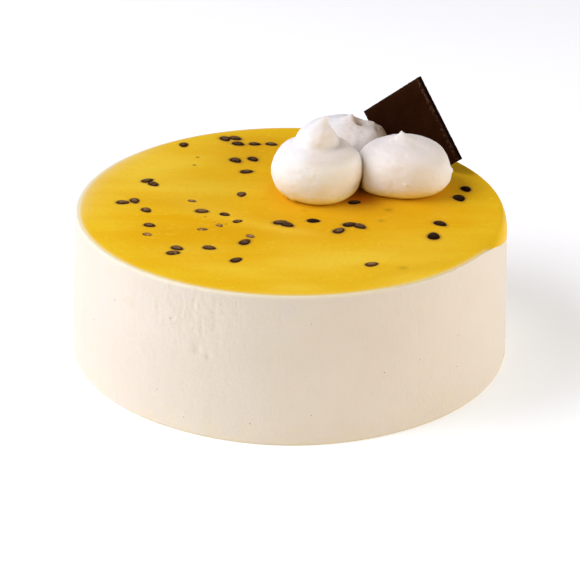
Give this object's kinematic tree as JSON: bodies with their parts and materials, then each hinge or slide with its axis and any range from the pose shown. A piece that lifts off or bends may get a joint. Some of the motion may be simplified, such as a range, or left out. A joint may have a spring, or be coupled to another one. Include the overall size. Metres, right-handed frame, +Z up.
{
  "type": "mousse cake",
  "caption": "Round passion fruit mousse cake with a golden jelly top full of dark pips, three white meringue kisses and a square of dark chocolate stuck in on its corner.",
  "frame": {"origin": "middle of the round base, on the surface the cake stands on", "axes": "+Z up, -Y towards the viewer of the picture, +X to the right of the picture"},
  "size_m": [0.1996, 0.1991, 0.1088],
  "materials": {
    "mousse": "soft satin cream white mousse, smooth side with a faint ripple, small pits and a few brown specks",
    "jelly": "glossy set fruit jelly, golden yellow with paler streaks, with wet dark brown pips lying in it",
    "meringue": "matte to satin white meringue, a little creamier at the foot",
    "chocolate": "satin dark chocolate with slightly crumbly edges"
  },
  "bodies": {
    "root": {"mousse_body": "mousse", "passion_fruit_jelly": "jelly", "meringue_front_left": "meringue", "meringue_front_right": "meringue", "meringue_back": "meringue", "chocolate_square": "chocolate"}
  },
  "joints": []
}
